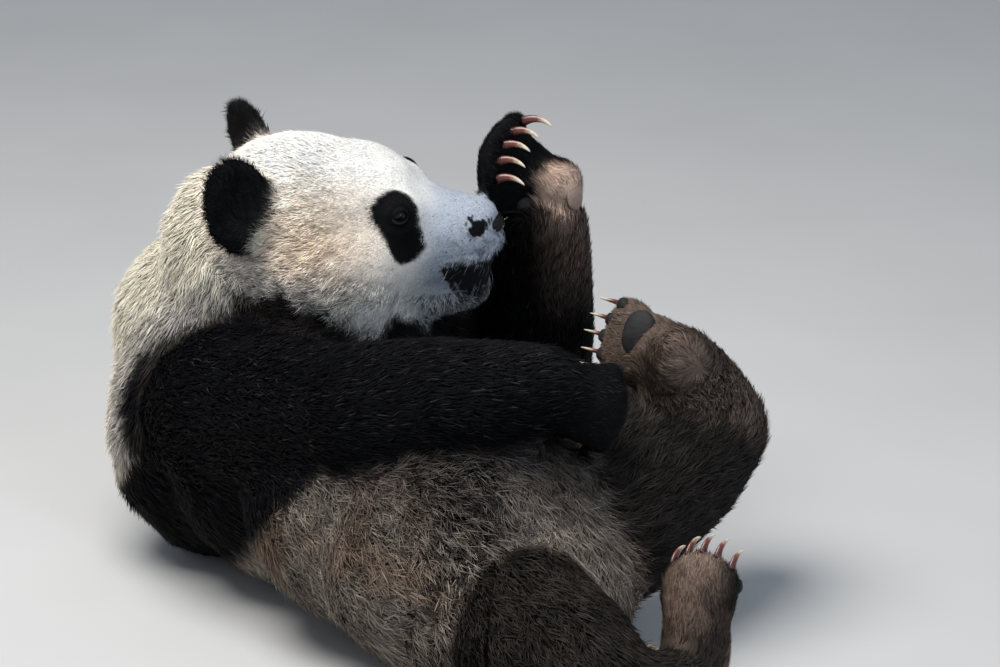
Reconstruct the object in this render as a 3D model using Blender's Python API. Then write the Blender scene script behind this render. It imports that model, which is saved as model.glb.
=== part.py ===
"""A life-size giant panda, reclining on its back with its head raised, made as a still museum model.

The head looks along +X, with the animal's right side towards -Y. The trunk lies turned, so that the rump and
the hind legs come towards -Y, with the right hind leg nearest. The back, rump and right leg rest on small
flats at one level. Every solid gives the outer form of the coat. The body is modelled in lengths of tapered
flesh that are fused and smoothed, and is then parted where its parts have names. Lengths are in metres.
"""

import math

import bmesh
import bpy
import numpy as np
from mathutils import Matrix, Vector

GAP = 0.0003  # clear space between two solids that meet

# Skeleton, as the animal lies, with the floor at z = 0.
SPINE_TURN = math.radians(-52)  # the direction from withers to rump, seen from above
HEAD_CENTRE = Vector((-0.250, 0.200, 0.473))  # middle of the braincase
HEAD_ROLL = math.radians(5)  # the crown leans this much towards -Y
HEAD_YAW = math.radians(-3)  # the nose turns this much towards -Y
HEAD_PITCH = math.radians(-1)  # and dips this much
SHOULDER_RIGHT = Vector((-0.350, 0.120, 0.235))
ELBOW_RIGHT = Vector((-0.175, -0.090, 0.315))
WRIST_RIGHT = Vector((0.050, -0.150, 0.370))
HAND_RIGHT = Vector((0.050, -0.152, 0.366))
SHOULDER_LEFT = Vector((-0.200, 0.360, 0.250))
ELBOW_LEFT = Vector((0.030, 0.350, 0.180))
WRIST_LEFT = Vector((0.062, 0.290, 0.425))
HAND_LEFT = Vector((0.072, 0.292, 0.489))
HIP_RIGHT = Vector((0.015, -0.240, 0.112))
KNEE_RIGHT = Vector((0.115, -0.430, 0.082))
HEEL_RIGHT = Vector((0.228, -0.345, 0.044))
TOES_RIGHT = Vector((0.238, -0.285, 0.200))
HIP_LEFT = Vector((0.120, -0.080, 0.160))
KNEE_LEFT = Vector((0.260, 0.090, 0.226))
HEEL_LEFT = Vector((0.222, -0.020, 0.358))
TOES_LEFT = Vector((0.138, 0.140, 0.333))

COATS = {
    "white": (0.80, 0.76, 0.68),
    "black": (0.020, 0.018, 0.018),
    "grizzled": (0.30, 0.26, 0.22),
    "nose": (0.015, 0.015, 0.017),
    "eye": (0.012, 0.010, 0.010),
    "claw": (0.42, 0.30, 0.22),
}
SHINE = {"nose": 0.35, "eye": 0.08, "claw": 0.30}  # roughness; the fur's is given below
FUR_ROUGHNESS = 0.85
FLAT_ENOUGH = math.radians(1.2)  # faces that turn less than this are joined
SHARP_EDGE = math.radians(40)


# Tools ---------------------------------------------------------------------------------------------------


def clear_scene():
    for obj in list(bpy.data.objects):
        bpy.data.objects.remove(obj)


def coat_material(name):
    material = bpy.data.materials.get(name)
    if material is None:
        material = bpy.data.materials.new(name)
        material.use_nodes = True
        shader = material.node_tree.nodes["Principled BSDF"]
        shader.inputs["Base Color"].default_value = (*COATS[name], 1)
        shader.inputs["Roughness"].default_value = SHINE.get(name, FUR_ROUGHNESS)
        shader.inputs["Metallic"].default_value = 0
    return material


def new_object(name, form):
    """An object that takes its mesh from a bmesh, which is freed."""
    mesh = bpy.data.meshes.new(name)
    form.to_mesh(mesh)
    form.free()
    obj = bpy.data.objects.new(name, mesh)
    bpy.context.scene.collection.objects.link(obj)
    return obj


def apply_modifiers(obj):
    """Gives the object the mesh that its modifiers make."""
    bpy.context.view_layer.update()
    graph = bpy.context.evaluated_depsgraph_get()
    made = bpy.data.meshes.new_from_object(obj.evaluated_get(graph))
    obj.modifiers.clear()
    obj.data = made


def turned(along, side):
    """The rotation whose x axis runs along the first direction, with y as near the second as it can be."""
    x_axis = Vector(along).normalized()
    z_axis = x_axis.cross(Vector(side)).normalized()
    y_axis = z_axis.cross(x_axis)
    return Matrix((x_axis, y_axis, z_axis)).transposed().to_4x4()


def add_ellipsoid(form, centre, radii, turn=None, fineness=3):
    place = Matrix.Translation(centre) @ (turn or Matrix()) @ Matrix.Diagonal((*radii, 1))
    bmesh.ops.create_icosphere(form, subdivisions=fineness, radius=1, matrix=place)


def add_taper(form, start, end, start_radius, end_radius, squeeze=1.0, side=(0, 0, 1)):
    """The hull of two balls. Squeeze scales its thickness along the side direction."""
    middle = (Vector(start) + Vector(end)) / 2
    half = (Vector(end) - Vector(start)).length / 2
    frame = Matrix.Translation(middle) @ turned(Vector(end) - Vector(start), side)
    hull = bmesh.new()
    for x, radius in ((-half, start_radius), (half, end_radius)):
        place = Matrix.Translation((x, 0, 0)) @ Matrix.Diagonal((radius, radius * squeeze, radius, 1))
        bmesh.ops.create_icosphere(hull, subdivisions=2, radius=1, matrix=place)
    made = bmesh.ops.convex_hull(hull, input=hull.verts)
    inner = [v for v in made["geom_interior"] if isinstance(v, bmesh.types.BMVert)]
    bmesh.ops.delete(hull, geom=inner, context="VERTS")
    bmesh.ops.transform(hull, matrix=frame, verts=hull.verts)
    copy = bpy.data.meshes.new("hull")
    hull.to_mesh(copy)
    hull.free()
    form.from_mesh(copy)
    bpy.data.meshes.remove(copy)


def add_chain(form, points, radii, squeeze=1.0, side=(0, 0, 1)):
    for start, end, r0, r1 in zip(points, points[1:], radii, radii[1:]):
        add_taper(form, start, end, r0, r1, squeeze, side)


def fused(name, form, faces, voxel=0.010, smoothing=12):
    """One closed organic body from overlapping pieces, smoothed and thinned to that many triangles."""
    obj = new_object(name, form)
    remesh = obj.modifiers.new("fuse", "REMESH")
    remesh.mode = "VOXEL"
    remesh.voxel_size = voxel
    smooth = obj.modifiers.new("soften", "SMOOTH")
    smooth.factor = 0.5
    smooth.iterations = smoothing
    apply_modifiers(obj)
    triangles = sum(len(p.vertices) - 2 for p in obj.data.polygons)
    thin = obj.modifiers.new("thin", "DECIMATE")
    thin.ratio = min(1, faces / triangles)
    apply_modifiers(obj)
    return obj


def cut_flat(obj, point, normal, name=None):
    """Cuts the object on a plane and keeps what lies against the normal. A name asks for the rest too."""
    normal = Vector(normal).normalized()
    parts = [(obj, point - normal * GAP / 2, normal)]
    if name:
        other = bpy.data.objects.new(name, obj.data.copy())
        bpy.context.scene.collection.objects.link(other)
        parts.append((other, point + normal * GAP / 2, -normal))
    for part, place, outwards in parts:
        form = bmesh.new()
        form.from_mesh(part.data)
        everything = form.verts[:] + form.edges[:] + form.faces[:]
        bmesh.ops.bisect_plane(form, geom=everything, plane_co=place, plane_no=outwards, clear_outer=True)
        bmesh.ops.holes_fill(form, edges=[e for e in form.edges if e.is_boundary])
        bmesh.ops.triangulate(form, faces=form.faces)
        form.to_mesh(part.data)
        form.free()
    return other if name else None


def larger(obj, by=GAP):
    """A helper copy of an object, grown by the gap."""
    form = bmesh.new()
    form.from_mesh(obj.data)
    form.normal_update()
    for vertex in form.verts:
        vertex.co += vertex.normal * by
    return new_object("cutter", form)


def carve(obj, *cutters, operation="DIFFERENCE"):
    """Takes from the object the room that each cutter fills, with the gap round it."""
    for cutter in cutters:
        grown = larger(cutter) if operation == "DIFFERENCE" else larger(cutter, 0)
        boolean = obj.modifiers.new("carve", "BOOLEAN")
        boolean.operation = operation
        boolean.object = grown
        apply_modifiers(obj)
        bpy.data.objects.remove(grown)
    keep_largest(obj)


def keep_largest(obj):
    """Drops the crumbs that a cut may leave beside the main body."""
    form = bmesh.new()
    form.from_mesh(obj.data)
    form.verts.ensure_lookup_table()
    unseen = set(form.verts)
    bodies = []
    while unseen:
        found = [unseen.pop()]
        for vertex in found:
            for edge in vertex.link_edges:
                other = edge.other_vert(vertex)
                if other in unseen:
                    unseen.discard(other)
                    found.append(other)
        bodies.append(found)
    bodies.sort(key=len)
    for crumb in bodies[:-1]:
        bmesh.ops.delete(form, geom=crumb, context="VERTS")
    form.to_mesh(obj.data)
    form.free()


def simplify(obj):
    """Joins the flat slivers that cutting leaves, and parts every face into triangles again."""
    form = bmesh.new()
    form.from_mesh(obj.data)
    bmesh.ops.dissolve_limit(form, angle_limit=FLAT_ENOUGH, verts=form.verts, edges=form.edges)
    bmesh.ops.triangulate(form, faces=form.faces)
    bmesh.ops.recalc_face_normals(form, faces=form.faces)
    form.to_mesh(obj.data)
    form.free()


def finish(obj, coat):
    simplify(obj)
    obj.data.materials.clear()
    obj.data.materials.append(coat_material(coat))
    obj.data.shade_smooth()
    obj.data.set_sharp_from_angle(angle=SHARP_EDGE)


# Head ----------------------------------------------------------------------------------------------------

HEAD = (
    Matrix.Translation(HEAD_CENTRE)
    @ Matrix.Rotation(HEAD_YAW, 4, "Z")
    @ Matrix.Rotation(HEAD_PITCH, 4, "Y")
    @ Matrix.Rotation(HEAD_ROLL, 4, "X")
)
EYE_RADIUS = 0.0125
EYE_PLACE = Vector((0.127, 0.0742, 0.035))  # the left eye, in the head's frame
EAR_SIZES = {1: (0.0645, 0.062), -1: (0.071, 0.058)}  # half its height and width; left 1, right -1
EAR_LEANS = {1: (0, 0, 1), -1: (-0.22, 0, 1)}  # the way its height runs
EAR_PLACES = {1: Vector((-0.077, 0.126, 0.054)), -1: Vector((-0.066, -0.126, 0.067))}
EAR_FACES = {1: Vector((0.78, 0.55, 0.20)), -1: Vector((0.62, -0.70, 0.22))}  # the way each one opens
MOUTH_CORNER = Vector((0.170, 0, -0.042))
MOUTH_RISE = math.radians(1)  # the mouth's line climbs this much towards the nose


def mirrored(point, side):
    """A point of the left half, carried to the side asked for: 1 is left and -1 right."""
    return Vector((point[0], point[1] * side, point[2]))


def in_head(obj):
    obj.data.transform(HEAD)
    return obj


def make_skull():
    form = bmesh.new()
    add_ellipsoid(form, (-0.005, 0, 0.004), (0.132, 0.134, 0.104))  # braincase
    add_ellipsoid(form, (0.060, 0, 0.022), (0.095, 0.100, 0.080))  # brow
    for side in (1, -1):
        add_ellipsoid(form, (0.030, 0.078 * side, -0.048), (0.108, 0.080, 0.088))  # cheek
        add_ellipsoid(form, (0.112, 0.044 * side, 0.018), (0.052, 0.046, 0.045))  # rim of the eye
    add_taper(form, (0.100, 0, -0.028), (0.203, 0, -0.024), 0.084, 0.055, 1.08, (0, 1, 0))  # muzzle
    add_ellipsoid(form, (0.222, 0, -0.003), (0.030, 0.036, 0.034))  # bridge's end, under the nose
    add_taper(form, (0.090, 0, -0.078), (0.200, 0, -0.082), 0.074, 0.040, 0.95, (0, 1, 0))  # lower jaw
    return fused("head", form, 1040, voxel=0.007, smoothing=9)


def make_nose():
    form = bmesh.new()
    add_ellipsoid(form, (0.238, 0, -0.003), (0.018, 0.027, 0.020))
    for side in (1, -1):
        add_ellipsoid(form, (0.234, 0.016 * side, -0.009), (0.018, 0.017, 0.017))  # wing of the nostril
    return fused("nose", form, 130, voxel=0.003, smoothing=4)


def make_eye(side):
    form = bmesh.new()
    place = Matrix.Translation(mirrored(EYE_PLACE, side))
    bmesh.ops.create_uvsphere(form, u_segments=10, v_segments=6, radius=EYE_RADIUS, matrix=place)
    return new_object("eye_left" if side > 0 else "eye_right", form)


def make_ear(side):
    """A round cup that faces forwards and out."""
    face = EAR_FACES[side]
    turn = turned(face, EAR_LEANS[side])
    place = EAR_PLACES[side]
    form = bmesh.new()
    add_ellipsoid(form, place, (0.022, *EAR_SIZES[side]), turn)
    root = mirrored((-0.045, 0.085, 0.030), side)
    add_taper(form, place - Vector((0, 0, 0.012)), root, 0.030, 0.045)
    ear = fused("ear_left" if side > 0 else "ear_right", form, 150, voxel=0.006, smoothing=4)
    bowl = bmesh.new()
    add_ellipsoid(bowl, place + face.normalized() * 0.030, (0.024, 0.040, 0.042), turn, fineness=2)
    bowl = new_object("bowl", bowl)
    carve(ear, bowl)
    bpy.data.objects.remove(bowl)
    return ear


def split_jaw(head):
    """Parts the lower jaw from the head along the mouth."""
    form = bmesh.new()
    length, width, depth = 0.16, 0.20, 0.12
    bmesh.ops.create_cube(form, size=1, matrix=Matrix.Diagonal((length, width, depth, 1)))
    lean = Matrix.Rotation(-MOUTH_RISE, 4, "Y")
    place = Matrix.Translation(MOUTH_CORNER) @ lean @ Matrix.Translation((length / 2 - 0.02, 0, -depth / 2))
    form.transform(place)
    wedge = in_head(new_object("wedge", form))
    jaw = bpy.data.objects.new("jaw", head.data.copy())
    bpy.context.scene.collection.objects.link(jaw)
    carve(jaw, wedge, operation="INTERSECT")
    carve(head, wedge)
    bpy.data.objects.remove(wedge)
    return jaw


# Trunk ---------------------------------------------------------------------------------------------------


def make_trunk():
    """Lengths of the trunk as ellipsoids: their centres, and their radii along, across and up."""
    lengths = (
        ((-0.316, 0.228, 0.424), (0.118, 0.125, 0.125)),  # nape and its ruff
        ((-0.364, 0.264, 0.284), (0.160, 0.138, 0.158)),  # neck
        ((-0.345, 0.250, 0.182), (0.148, 0.184, 0.195)),  # shoulders
        ((-0.230, 0.160, 0.194), (0.180, 0.215, 0.204)),  # rib cage
        ((-0.110, 0.010, 0.175), (0.210, 0.225, 0.180)),  # belly
        ((-0.030, -0.110, 0.155), (0.170, 0.215, 0.165)),  # loins
        ((0.030, -0.190, 0.120), (0.115, 0.165, 0.125)),  # rump
    )
    form = bmesh.new()
    for centre, radii in lengths:
        add_ellipsoid(form, centre, radii, Matrix.Rotation(SPINE_TURN, 4, "Z"))
    return fused("trunk", form, 780, voxel=0.012, smoothing=14)


SPINE = Vector((math.cos(SPINE_TURN), math.sin(SPINE_TURN), 0))
NECK_CUT = Vector((-0.405, 0.200, 0.266)), (0.816, -0.198, -0.543)  # a point and the way to the tail
CHEST_CUT = Vector((-0.295, 0.200, 0.069)), (0.72, -0.236, -0.648)
ABDOMEN_CUT = Vector((-0.130, 0.030, 0.200)), SPINE
RUMP_CUT = Vector((0.000, -0.160, 0.150)), SPINE


def make_tail():
    form = bmesh.new()
    bones = [Vector((0.080, -0.210, 0.050)), Vector((0.150, -0.222, 0.040)), Vector((0.196, -0.225, 0.034))]
    add_chain(form, bones, [0.048, 0.040, 0.027])
    return fused("tail", form, 80, voxel=0.008, smoothing=4)


# Limbs ---------------------------------------------------------------------------------------------------


def make_arm(side, shoulder, elbow, wrist):
    """The upper arm and the forearm of one side."""
    upper = elbow - shoulder
    lower = wrist - elbow
    form = bmesh.new()
    add_ellipsoid(form, shoulder + upper * 0.10, (0.124, 0.116, 0.124))  # muscle of the shoulder
    add_chain(form, [shoulder, shoulder + upper * 0.55, elbow], [0.118, 0.106, 0.090])
    upper_arm = fused(f"upper_arm_{side}", form, 210, voxel=0.010)
    form = bmesh.new()
    add_chain(form, [elbow, elbow + lower * 0.40, wrist], [0.094, 0.088, 0.060])
    forearm = fused(f"forearm_{side}", form, 180, voxel=0.010, smoothing=8)
    return upper_arm, forearm


def row_of_five(middle, across, along, spread, arc):
    """Five points in a shallow arc, the middle ones furthest along."""
    points = []
    for step in (-2, -1, 0, 1, 2):
        points.append(middle + across * spread * step - along * arc * step * step)
    return points


CLAW_BEND = math.radians(75)  # from root to tip
CLAW_RINGS = 3
CLAW_CORNERS = 5
CLAW_TAPER = 0.72
CLAW_DEPTH = 1.15  # a claw is deeper than it is wide, by these shares of its thickness
CLAW_WIDTH = 0.72


def make_claw(name, root, towards, down, length, thickness):
    """A horn that curves from its root towards the down direction."""
    root = Vector(root)
    towards = Vector(towards).normalized()
    down = (Vector(down) - towards * Vector(down).dot(towards)).normalized()
    side = towards.cross(down)
    radius = length / CLAW_BEND
    form = bmesh.new()
    loops = []
    for ring in range(CLAW_RINGS):
        share = ring / CLAW_RINGS
        angle = CLAW_BEND * share
        centre = root + towards * radius * math.sin(angle) + down * radius * (1 - math.cos(angle))
        out = towards * -math.sin(angle) + down * math.cos(angle)
        size = thickness * (1 - share) ** CLAW_TAPER
        loop = []
        for corner in range(CLAW_CORNERS):
            turn = math.tau * corner / CLAW_CORNERS
            offset = out * math.cos(turn) * size * CLAW_DEPTH + side * math.sin(turn) * size * CLAW_WIDTH
            loop.append(form.verts.new(centre + offset))
        loops.append(loop)
    end = root + towards * radius * math.sin(CLAW_BEND) + down * radius * (1 - math.cos(CLAW_BEND))
    tip = form.verts.new(end)
    for near, far in zip(loops, loops[1:]):
        for i in range(CLAW_CORNERS):
            j = (i + 1) % CLAW_CORNERS
            form.faces.new((near[i], near[j], far[j], far[i]))
    for i in range(CLAW_CORNERS):
        form.faces.new((loops[-1][i], loops[-1][(i + 1) % CLAW_CORNERS], tip))
    form.faces.new(loops[0])
    bmesh.ops.recalc_face_normals(form, faces=form.faces)
    return new_object(name, form)


FINGER_SPACING = 0.021
FINGER = 0.018  # radius


def frame_of(along, across):
    """Three square directions: along the digits, from first digit to fifth, and the side that grips."""
    along = Vector(along).normalized()
    across = (Vector(across) - along * Vector(across).dot(along)).normalized()
    return along, across, across.cross(along)


RIGHT_HAND = frame_of((0.95, 0.12, -0.26), (0.12, 0.42, 0.90))
LEFT_HAND = frame_of((-0.86, -0.09, 0.50), (-0.16, 0.30, 0.94))
RIGHT_CURL = 0.75
LEFT_CURL = 0.6
RIGHT_BREADTH = 1.0  # of the palm; the left hand's is folded narrower
LEFT_BREADTH = 0.78
LEFT_BALL = 0.024  # radius of the false thumb's ball, which shows where the hand is folded
LEFT_CLAWS = Vector((0.80, -0.20, 0.56))  # the way the left hand's claws point
LEFT_CLAWS_BEND = Vector((0, -0.2, -1))  # and the way they curve


def make_hand(side, base, frame, curl, breadth, ball=None):
    """A hand whose fingers curl by that share: 0 is straight and 1 is a fist."""
    along, across, palm = frame
    turn = turned(along, across)
    form = bmesh.new()
    add_ellipsoid(form, base + along * 0.055, (0.058, 0.054 * breadth, 0.034), turn)  # palm
    add_ellipsoid(form, base + palm * 0.016, (0.036, 0.046 * breadth, 0.036), turn)  # heel
    if ball:
        add_ellipsoid(form, base + along * 0.060 - across * 0.054, (ball, ball, ball))  # of the false thumb
    first = row_of_five(base + along * 0.092, across, along, FINGER_SPACING, 0.0030)
    reach = along * 0.024 * (1 - curl) + palm * 0.026 * curl
    second = [point + reach for point in first]
    third = [point + palm * 0.020 - along * (0.030 * curl - 0.012) for point in second]
    for chain in zip(first, second, third):
        add_chain(form, chain, [FINGER, FINGER, FINGER * 0.85])
    return fused(f"hand_{side}", form, 290, voxel=0.006, smoothing=4), third


HAND_CLAW = (0.044, 0.0075, 0.006)  # length, thickness, and how far ahead of the digit's end it starts
FOOT_CLAW = (0.034, 0.0068, 0.010)


def make_claws(name, roots, towards, down, size):
    """Five claws, one at the end of each digit."""
    length, thickness, ahead = size
    towards = Vector(towards).normalized()
    claws = []
    for number, root in enumerate(roots, 1):
        start = root + towards * ahead
        claws.append(make_claw(f"claw_{name}_{number}", start, towards, down, length, thickness))
    return claws


def make_leg(side, hip, knee, heel):
    thigh = knee - hip
    form = bmesh.new()
    add_ellipsoid(form, hip + thigh * 0.15, (0.104, 0.110, 0.118))  # haunch
    add_chain(form, [hip, hip + thigh * 0.6, knee], [0.108, 0.104, 0.086])
    upper = fused(f"thigh_{side}", form, 210, voxel=0.010, smoothing=10)
    form = bmesh.new()
    add_chain(form, [knee, (knee + heel) / 2, heel], [0.086, 0.072, 0.050])
    lower = fused(f"shank_{side}", form, 140, voxel=0.010, smoothing=8)
    return upper, lower


TOE_SPACING = 0.0225
TOE = 0.0185  # radius


def foot_frame(heel, toes, sole):
    """Three square directions: along the toes, across the sole, and the side that the sole faces."""
    along = (toes - heel).normalized()
    sole = (Vector(sole) - along * Vector(sole).dot(along)).normalized()
    return along, sole.cross(along), sole


RIGHT_FOOT = foot_frame(HEEL_RIGHT, TOES_RIGHT, (0.60, 0.75, 0.20))
LEFT_FOOT = foot_frame(HEEL_LEFT, TOES_LEFT, (-0.78, -0.45, 0.35))


def make_foot(side, heel, frame):
    along, across, sole = frame
    turn = turned(along, across)
    form = bmesh.new()
    add_ellipsoid(form, heel, (0.052, 0.046, 0.046), turn)  # heel
    add_ellipsoid(form, heel + along * 0.070, (0.075, 0.052, 0.040), turn)  # arch
    add_ellipsoid(form, heel + along * 0.125, (0.050, 0.060, 0.034), turn)  # ball
    knuckles = row_of_five(heel + along * 0.150, across, along, TOE_SPACING, 0.0030)
    tips = row_of_five(heel + along * 0.174 + sole * 0.004, across, along, TOE_SPACING, 0.0040)
    for knuckle, tip in zip(knuckles, tips):
        add_taper(form, knuckle, tip, TOE, TOE * 0.85)
    return fused(f"hindfoot_{side}", form, 300, voxel=0.006, smoothing=4), tips


# Assembly ------------------------------------------------------------------------------------------------


def stand_on_floor(obj):
    """Gives a form that dips under the floor a flat there."""
    cut_flat(obj, Vector((0, 0, -GAP / 2)), (0, 0, -1))


def centre_all():
    """Moves the whole animal so that the origin lies under the middle of its box."""
    corners = []
    for obj in bpy.data.objects:
        corners += [vertex.co for vertex in obj.data.vertices]
    corners = np.array(corners)
    low, high = corners.min(axis=0), corners.max(axis=0)
    shift = Matrix.Translation((-(low[0] + high[0]) / 2, -(low[1] + high[1]) / 2, -low[2]))
    for mesh in {obj.data for obj in bpy.data.objects}:
        mesh.transform(shift)


def main():
    clear_scene()
    head = in_head(make_skull())
    nose = in_head(make_nose())
    eyes = [in_head(make_eye(side)) for side in (1, -1)]
    ears = [in_head(make_ear(side)) for side in (1, -1)]
    carve(nose, head)
    for ear in ears:
        carve(ear, head)
    carve(head, *eyes)
    jaw = split_jaw(head)

    trunk = make_trunk()
    tail = make_tail()
    carve(trunk, head, jaw, *ears)
    carve(tail, trunk)
    stand_on_floor(trunk)
    stand_on_floor(tail)

    arms = [make_arm("right", SHOULDER_RIGHT, ELBOW_RIGHT, WRIST_RIGHT)]
    arms.append(make_arm("left", SHOULDER_LEFT, ELBOW_LEFT, WRIST_LEFT))
    legs = [make_leg("right", HIP_RIGHT, KNEE_RIGHT, HEEL_RIGHT)]
    legs.append(make_leg("left", HIP_LEFT, KNEE_LEFT, HEEL_LEFT))
    hands = [make_hand("right", HAND_RIGHT, RIGHT_HAND, RIGHT_CURL, RIGHT_BREADTH)]
    hands.append(make_hand("left", HAND_LEFT, LEFT_HAND, LEFT_CURL, LEFT_BREADTH, LEFT_BALL))
    feet = [make_foot("right", HEEL_RIGHT, RIGHT_FOOT)]
    feet.append(make_foot("left", HEEL_LEFT, LEFT_FOOT))

    claws = []
    along, across, palm = RIGHT_HAND
    claws += make_claws("hand_right", hands[0][1], palm + across * 0.4, -along, HAND_CLAW)
    claws += make_claws("hand_left", hands[1][1], LEFT_CLAWS, LEFT_CLAWS_BEND, HAND_CLAW)
    for side, foot, frame in zip(("right", "left"), feet, (RIGHT_FOOT, LEFT_FOOT)):
        along, across, sole = frame
        towards = along * 0.95 + sole * 0.10
        claws += make_claws(f"foot_{side}", foot[1], towards, sole, FOOT_CLAW)

    black = []
    for (upper, lower), (paw, _) in zip(arms + legs, hands + feet):
        carve(upper, trunk, head, jaw)
        carve(lower, trunk, upper, head, jaw)
        carve(paw, trunk, upper, lower)
        black += [upper, lower, paw]
    for obj in black:
        stand_on_floor(obj)
    carve(tail, legs[0][0], legs[0][1], legs[1][0], feet[0][0])
    right_forearm, right_hand = arms[0][1], hands[0][0]
    for obj in (legs[1][0], legs[1][1], feet[1][0], legs[0][0]):
        carve(obj, right_forearm, right_hand)
    for claw in claws:
        carve(claw, *[paw for paw, _ in hands + feet])

    neck = trunk
    neck.name = "neck"
    shoulders = cut_flat(neck, *NECK_CUT, "shoulders")
    chest = cut_flat(shoulders, *CHEST_CUT, "chest")
    abdomen = cut_flat(chest, *ABDOMEN_CUT, "abdomen")
    rump = cut_flat(abdomen, *RUMP_CUT, "rump")

    for obj in black + ears + [shoulders]:
        finish(obj, "black")
    for obj in (head, jaw, neck, tail):
        finish(obj, "white")
    for obj in (chest, abdomen, rump):
        finish(obj, "grizzled")
    finish(nose, "nose")
    for obj in eyes:
        finish(obj, "eye")
    for claw in claws:
        finish(claw, "claw")
    centre_all()


main()
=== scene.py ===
"""The looks of the reclining giant panda: a skin under a coat of locks, eyes, nose, lips, pads and claws.

Every place is in metres in the row's frame. The head looks along +X, with the animal's right side towards -Y.
"""

import contextlib
import math

import bpy
import numpy as np
from mathutils import Matrix, Vector
from mathutils.bvhtree import BVHTree


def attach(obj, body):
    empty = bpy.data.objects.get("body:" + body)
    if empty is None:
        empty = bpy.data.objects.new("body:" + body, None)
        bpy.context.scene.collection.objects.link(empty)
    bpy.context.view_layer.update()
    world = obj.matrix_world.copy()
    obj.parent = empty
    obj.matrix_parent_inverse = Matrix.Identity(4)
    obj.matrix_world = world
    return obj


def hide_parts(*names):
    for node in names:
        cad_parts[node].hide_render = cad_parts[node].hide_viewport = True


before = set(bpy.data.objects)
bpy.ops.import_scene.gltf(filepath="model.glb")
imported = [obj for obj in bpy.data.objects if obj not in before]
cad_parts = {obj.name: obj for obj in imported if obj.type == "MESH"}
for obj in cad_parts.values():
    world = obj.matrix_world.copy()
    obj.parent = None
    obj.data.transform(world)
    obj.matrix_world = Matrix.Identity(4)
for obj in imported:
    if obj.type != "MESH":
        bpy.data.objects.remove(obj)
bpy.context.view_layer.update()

ORIGIN = Vector((0.0859, 0.0200, 0.0))  # the animal's own origin


def at(x, y, z):
    """A place told from the animal's own origin."""
    return ORIGIN + Vector((x, y, z))


SIDES = ("left", "right")

# Where the animal's joints lie.
SHOULDER = {"left": at(-0.200, 0.360, 0.250), "right": at(-0.350, 0.120, 0.235)}
ELBOW = {"left": at(0.030, 0.350, 0.180), "right": at(-0.175, -0.090, 0.315)}
WRIST = {"left": at(0.062, 0.290, 0.425), "right": at(0.050, -0.150, 0.370)}
HAND = {"left": at(0.072, 0.292, 0.489), "right": at(0.050, -0.152, 0.366)}
HIP = {"left": at(0.120, -0.080, 0.160), "right": at(0.015, -0.240, 0.112)}
KNEE = {"left": at(0.260, 0.090, 0.226), "right": at(0.115, -0.430, 0.082)}
HEEL = {"left": at(0.222, -0.020, 0.358), "right": at(0.228, -0.345, 0.044)}
TOES = {"left": at(0.138, 0.140, 0.333), "right": at(0.238, -0.285, 0.200)}
HEAD_CENTRE = at(-0.250, 0.200, 0.473)
SPINE = Vector((0.616, -0.788, 0.0))  # from the withers to the rump

# The head's own frame: x to the nose, y to the left, z to the crown.
HEAD = (
    Matrix.Translation(HEAD_CENTRE)
    @ Matrix.Rotation(math.radians(-3), 4, "Z")
    @ Matrix.Rotation(math.radians(-1), 4, "Y")
    @ Matrix.Rotation(math.radians(5), 4, "X")
)
EYE_PLACE = Vector((0.1260, 0.0720, 0.0347))  # the left one
EYE_RADIUS = 0.0125
GAZE = Vector((0.42, 0.88, 0.12)).normalized()  # the left eye's
PAD_PLACE = np.array([0.2385, 0.0, -0.0070])  # middle of the nose pad
PAD_SIZE = np.array([0.0170, 0.0245, 0.0145])
MOUTH_BACK = 0.180  # the corner's place along the head
MOUTH_HEIGHT = -0.0440  # the mouth's line, up the head

EYE_BACK = -0.014  # behind this, along the gaze, the skin has nothing to do with the eye
MUZZLE_END = 0.26
FLOOR_GAP = 0.0008  # the coat ends this far above the floor
PATCH = 0.003  # the size of a lock on the map


def both(*parts):
    """The names of the left and right nodes of each part."""
    return [f"{part}_{side}" for part in parts for side in SIDES]


ON_HEAD = ["head", "jaw"]
FLESH = [*ON_HEAD, "neck", "shoulders", "chest", "abdomen", "rump", "tail"]
FLESH += both("ear", "upper_arm", "forearm", "hand", "thigh", "shank", "hindfoot")


# Tools ---------------------------------------------------


def only(obj):
    """Selects this object alone."""
    bpy.ops.object.select_all(action="DESELECT")
    obj.select_set(True)
    bpy.context.view_layer.objects.active = obj


def modify(obj, kind, **settings):
    """Adds a modifier and applies it."""
    modifier = obj.modifiers.new(kind.lower(), kind)
    for name, value in settings.items():
        setattr(modifier, name, value)
    only(obj)
    bpy.ops.object.modifier_apply(modifier=modifier.name)


@contextlib.contextmanager
def edit_mode(picking=None):
    """Edits the active object's mesh, picking by VERT, EDGE or FACE."""
    bpy.ops.object.mode_set(mode="EDIT")
    if picking:
        bpy.ops.mesh.select_mode(type=picking)
    yield
    bpy.ops.object.mode_set(mode="OBJECT")


def new_object(name, data):
    """A new object in the scene, of a mesh, curve or lamp."""
    obj = bpy.data.objects.new(name, data)
    bpy.context.scene.collection.objects.link(obj)
    return obj


def numbers(collection, field, width=3, kind=np.float32):
    """A field of a mesh's collection as an array."""
    found = np.empty(len(collection) * width, kind)
    collection.foreach_get(field, found)
    return found.reshape(-1, width) if width > 1 else found


def points_of(obj):
    return numbers(obj.data.vertices, "co").astype(float)


def normals_of(obj):
    return numbers(obj.data.vertex_normals, "vector").astype(float)


def move_points(mesh, points):
    mesh.vertices.foreach_set("co", np.ascontiguousarray(points, np.float32).ravel())
    mesh.update()


def unit(vectors):
    return vectors / np.maximum(np.linalg.norm(vectors, axis=1, keepdims=True), 1e-9)


def step(values, low, high):
    """Rises smoothly from 0 at low to 1 at high."""
    share = np.clip((values - low) / (high - low), 0, 1)
    return share * share * (3 - 2 * share)


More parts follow.
